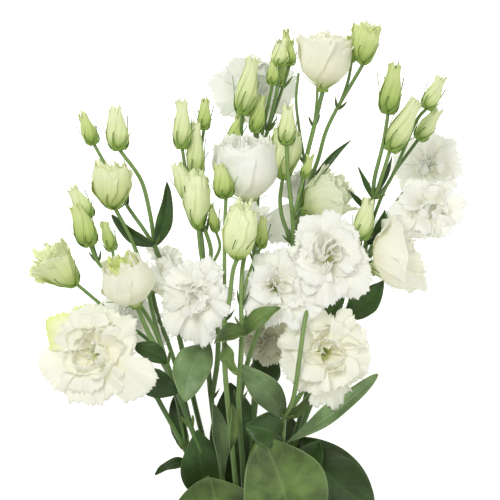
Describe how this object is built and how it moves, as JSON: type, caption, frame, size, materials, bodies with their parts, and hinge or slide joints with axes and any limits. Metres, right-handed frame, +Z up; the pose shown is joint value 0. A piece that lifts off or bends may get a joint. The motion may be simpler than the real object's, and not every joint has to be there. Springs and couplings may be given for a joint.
{
  "type": "lisianthus bunch",
  "caption": "A cut bunch of white lisianthus lying on its back, with frilled double blooms, pale green buds, grey-green leaves and a rubber band round its stems.",
  "frame": {"origin": "middle of the bounding box at the table top", "axes": "+Y from the cut ends to the flowers, +X across the bunch to the picture's right, +Z up from the table towards the camera"},
  "size_m": [0.3468, 0.5786, 0.1531],
  "materials": {
    "greenery": "satin leaf and stalk green",
    "petals": "soft white petal",
    "band": "matte tan rubber"
  },
  "bodies": {
    "root": {"stem_a": "greenery", "stem_b": "greenery", "stem_c": "greenery", "stem_d": "greenery", "stem_e": "greenery", "stem_f": "greenery", "stem_g": "greenery", "stem_h": "greenery", "stem_i": "greenery", "stem_j": "greenery", "bloom_01": "petals", "bloom_02": "petals", "bloom_03": "petals", "bloom_04": "petals", "bloom_05": "petals", "bloom_06": "petals", "bloom_07": "petals", "bloom_08": "petals", "bloom_09": "petals", "bloom_10": "petals", "bloom_11": "petals", "bloom_12": "petals", "bloom_13": "petals", "bloom_14": "petals", "bloom_15": "petals", "bloom_16": "petals", "bloom_17": "petals", "bloom_18": "petals", "band": "band"}
  },
  "joints": []
}
